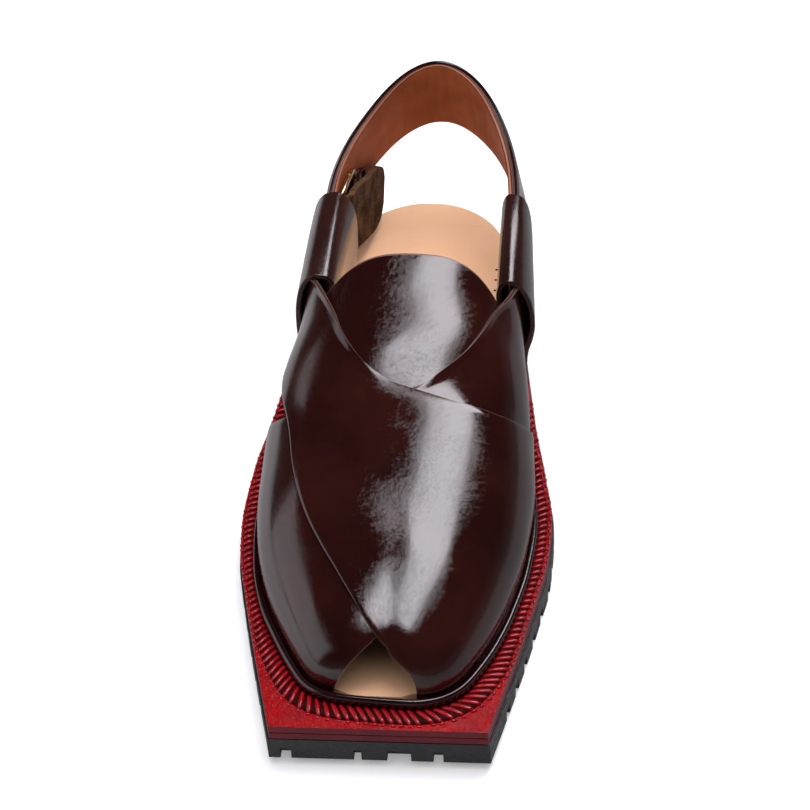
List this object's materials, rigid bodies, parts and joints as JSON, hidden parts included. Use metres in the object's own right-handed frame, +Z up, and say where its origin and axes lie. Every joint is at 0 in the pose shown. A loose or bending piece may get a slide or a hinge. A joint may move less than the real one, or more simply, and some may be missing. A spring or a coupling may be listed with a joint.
{
  "type": "peshawari chappal",
  "caption": "Closed-looking strap sandal with crossed straps over a tongue, a small toe hole, side loops, a buckled heel strap and a thick lugged sole.",
  "frame": {"origin": "on the floor under the middle of the heel tread", "axes": "+Y from toe to heel along the sole, +X towards the big-toe side, +Z up"},
  "size_m": [0.1183, 0.2924, 0.101],
  "materials": {
    "black_rubber": "semi-matt black rubber",
    "maroon_sole_leather": "glossy greyish maroon edge",
    "red_rim_leather": "glossy red with whip stitching",
    "tan_insole_leather": "smooth tan, satin",
    "oxblood_leather": "polished, very dark oxblood brown",
    "brown_suede": "matt brown flesh side",
    "pale_gold_metal": "polished pale gold"
  },
  "bodies": {
    "root": {"outsole": "black_rubber", "midsole": "maroon_sole_leather", "welt": "red_rim_leather", "rand": "oxblood_leather", "insole": "tan_insole_leather", "upper": "oxblood_leather", "saddle_little_toe_side": "oxblood_leather", "saddle_big_toe_side": "oxblood_leather", "heel_strap": "oxblood_leather", "strap_tail": "brown_suede", "buckle_frame": "pale_gold_metal", "buckle_prong": "pale_gold_metal", "buckle_chape": "oxblood_leather"}
  },
  "joints": []
}
